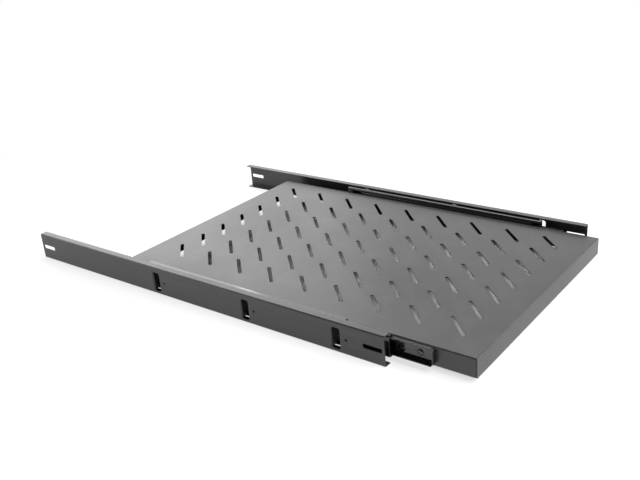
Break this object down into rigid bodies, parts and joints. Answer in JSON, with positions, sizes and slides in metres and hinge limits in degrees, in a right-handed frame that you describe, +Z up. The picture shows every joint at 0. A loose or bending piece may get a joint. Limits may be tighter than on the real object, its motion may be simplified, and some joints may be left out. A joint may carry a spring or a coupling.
{
  "type": "sliding rack shelf",
  "caption": "Black vented steel shelf that slides out of a rack on ball bearing slides between two slotted channel rails.",
  "frame": {"origin": "middle of the bounding box at the height of the rails' undersides", "axes": "+X to the right seen from the front, +Y to the rear of the rack, +Z up; the shelf draws out towards -Y"},
  "size_m": [0.478, 0.872, 0.047],
  "materials": {
    "powder_coat": "satin black powder coat with a fine even texture",
    "slide_black": "smooth glossy black electro-coat",
    "cage_steel": "bright zinc strip",
    "ball_steel": "polished steel",
    "bumper_plastic": "moulded black plastic",
    "fastener_black": "black zinc screw",
    "fastener_zinc": "zinc plated nut"
  },
  "bodies": {
    "left_rail": {"left_rail": "powder_coat", "left_outer_member": "slide_black", "left_rear_bumper": "bumper_plastic"},
    "left_outer_cage": {"left_outer_ball_cage": "cage_steel", "left_outer_balls": "ball_steel"},
    "left_middle": {"left_middle_member": "slide_black"},
    "left_inner_cage": {"left_inner_ball_cage": "cage_steel", "left_inner_balls": "ball_steel"},
    "shelf": {"shelf_tray": "powder_coat", "left_inner_member": "slide_black", "right_inner_member": "slide_black", "left_slide_screws": "fastener_black", "right_slide_screws": "fastener_black", "left_slide_nuts": "fastener_zinc", "right_slide_nuts": "fastener_zinc"},
    "right_inner_cage": {"right_inner_ball_cage": "cage_steel", "right_inner_balls": "ball_steel"},
    "right_middle": {"right_middle_member": "slide_black"},
    "right_outer_cage": {"right_outer_ball_cage": "cage_steel", "right_outer_balls": "ball_steel"},
    "right_rail": {"right_rail": "powder_coat", "right_outer_member": "slide_black", "right_rear_bumper": "bumper_plastic"}
  },
  "joints": [
    {"name": "shelf_slide", "type": "slide", "parent": "left_rail", "child": "shelf", "axis": [0, -1, 0], "range_m": [-0.142, 0.258]},
    {"name": "left_middle_slide", "type": "slide", "parent": "left_rail", "child": "left_middle", "axis": [0, -1, 0], "range_m": [-0.071, 0.129]},
    {"name": "left_outer_cage_slide", "type": "slide", "parent": "left_rail", "child": "left_outer_cage", "axis": [0, -1, 0], "range_m": [-0.0355, 0.0645]},
    {"name": "left_inner_cage_slide", "type": "slide", "parent": "left_rail", "child": "left_inner_cage", "axis": [0, -1, 0], "range_m": [-0.1065, 0.1935]},
    {"name": "right_rail_slide", "type": "slide", "parent": "shelf", "child": "right_rail", "axis": [0, 1, 0], "range_m": [-0.048, 0.352]},
    {"name": "right_middle_slide", "type": "slide", "parent": "shelf", "child": "right_middle", "axis": [0, 1, 0], "range_m": [-0.024, 0.176]},
    {"name": "right_inner_cage_slide", "type": "slide", "parent": "shelf", "child": "right_inner_cage", "axis": [0, 1, 0], "range_m": [-0.012, 0.088]},
    {"name": "right_outer_cage_slide", "type": "slide", "parent": "shelf", "child": "right_outer_cage", "axis": [0, 1, 0], "range_m": [-0.036, 0.264]}
  ],
  "couplings": [
    {"joint": "left_middle_slide", "follows": "shelf_slide", "ratio": 0.5},
    {"joint": "left_outer_cage_slide", "follows": "shelf_slide", "ratio": 0.25},
    {"joint": "left_inner_cage_slide", "follows": "shelf_slide", "ratio": 0.75},
    {"joint": "right_middle_slide", "follows": "right_rail_slide", "ratio": 0.5},
    {"joint": "right_inner_cage_slide", "follows": "right_rail_slide", "ratio": 0.25},
    {"joint": "right_outer_cage_slide", "follows": "right_rail_slide", "ratio": 0.75}
  ]
}
